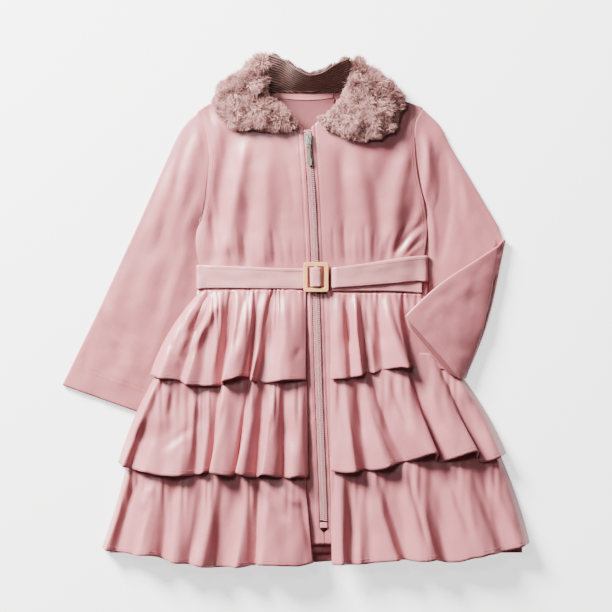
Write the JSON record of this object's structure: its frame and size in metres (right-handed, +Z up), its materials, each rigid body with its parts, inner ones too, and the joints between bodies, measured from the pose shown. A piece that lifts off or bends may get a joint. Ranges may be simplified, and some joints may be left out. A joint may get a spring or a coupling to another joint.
{
  "type": "child's ruffled coat",
  "caption": "Child's belted coat laid flat on its back, with a fur collar, full front zip, long sleeves with one folded back, and a skirt of gathered ruffle tiers.",
  "frame": {"origin": "centre of the bounding box's underside, on the surface that the coat lies on", "axes": "+Z up from the surface, +Y from hem to collar, +X to the viewer's right"},
  "size_m": [0.5399, 0.5877, 0.0336],
  "materials": {
    "coat_cloth": "smooth coated cloth, soft sheen",
    "belt_cloth": "smooth coated cloth, soft sheen",
    "fur": "short dense pile",
    "rib_lining": "fine horizontal ribs",
    "zip_cloth": "woven tape",
    "zip_teeth": "moulded teeth",
    "silver": "plated zinc",
    "buckle_gloss": "cream and gold gloss"
  },
  "bodies": {
    "coat": {"back_bodice": "coat_cloth", "belt": "belt_cloth", "belt_tail": "belt_cloth", "buckle": "buckle_gloss", "collar_lining": "rib_lining", "front_left": "coat_cloth", "front_right": "coat_cloth", "fur_back": "fur", "fur_left": "fur", "fur_right": "fur", "neck_tape": "zip_cloth", "skirt_back": "coat_cloth", "skirt_front_left": "coat_cloth", "skirt_front_right": "coat_cloth", "sleeve_left": "coat_cloth", "sleeve_right": "coat_cloth", "tier_1_back": "coat_cloth", "tier_1_left": "coat_cloth", "tier_1_right": "coat_cloth", "tier_2_back": "coat_cloth", "tier_2_left": "coat_cloth", "tier_2_right": "coat_cloth", "tier_3_back": "coat_cloth", "tier_3_left": "coat_cloth", "tier_3_right": "coat_cloth", "zip_chain": "zip_teeth", "zip_slider": "silver", "zip_stop": "zip_cloth", "zip_tape_left": "zip_cloth", "zip_tape_right": "zip_cloth"},
    "pull": {"zip_pull": "silver"}
  },
  "joints": [
    {"name": "pull_hinge", "type": "hinge", "parent": "coat", "child": "pull", "pos_m": [0.01435, 0.19197, 0.02235], "axis": [-0.9974, -0.0721, 0], "range_deg": [0, 110]}
  ]
}
